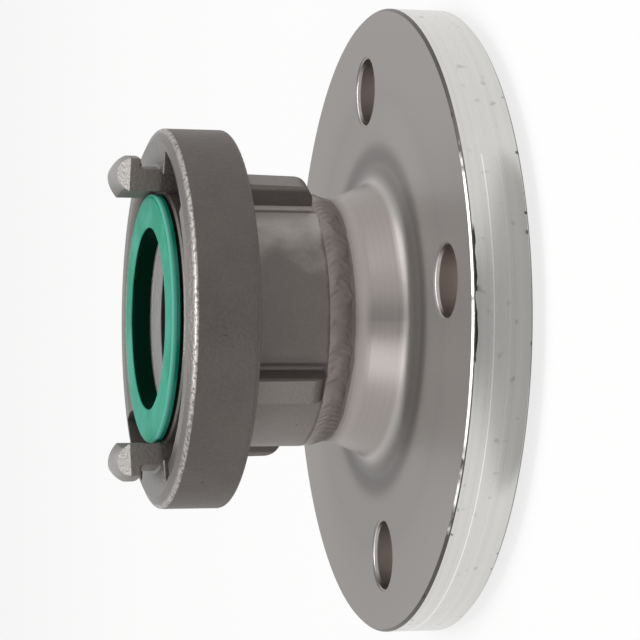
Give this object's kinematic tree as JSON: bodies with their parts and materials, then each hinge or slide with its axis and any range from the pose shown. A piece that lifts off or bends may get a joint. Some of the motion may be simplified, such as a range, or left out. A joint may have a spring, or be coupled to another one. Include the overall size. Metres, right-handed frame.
{
  "type": "storz flange adapter",
  "caption": "Fixed claw coupling half with a lipped collar, two hooked claws and a rubber seal, butt-welded to a drilled weld-neck flange.",
  "frame": {"origin": "centre of the flange's raised sealing face, which is also the lowest plane of the part", "axes": "+Z runs along the bore from the sealing face towards the claws; a line at 9.2 degrees from +X towards +Y passes through one bolt hole"},
  "size_m": [0.165, 0.165, 0.0884],
  "materials": {
    "flange_steel": "turned stainless steel, satin",
    "weld_metal": "rippled weld bead, pickled",
    "cast_steel": "blasted stainless investment casting",
    "seal_rubber": "smooth moulded green rubber"
  },
  "bodies": {
    "root": {"weld_neck_flange": "flange_steel", "weld_seam": "weld_metal", "storz_coupling": "cast_steel", "coupling_seal": "seal_rubber"}
  },
  "joints": []
}
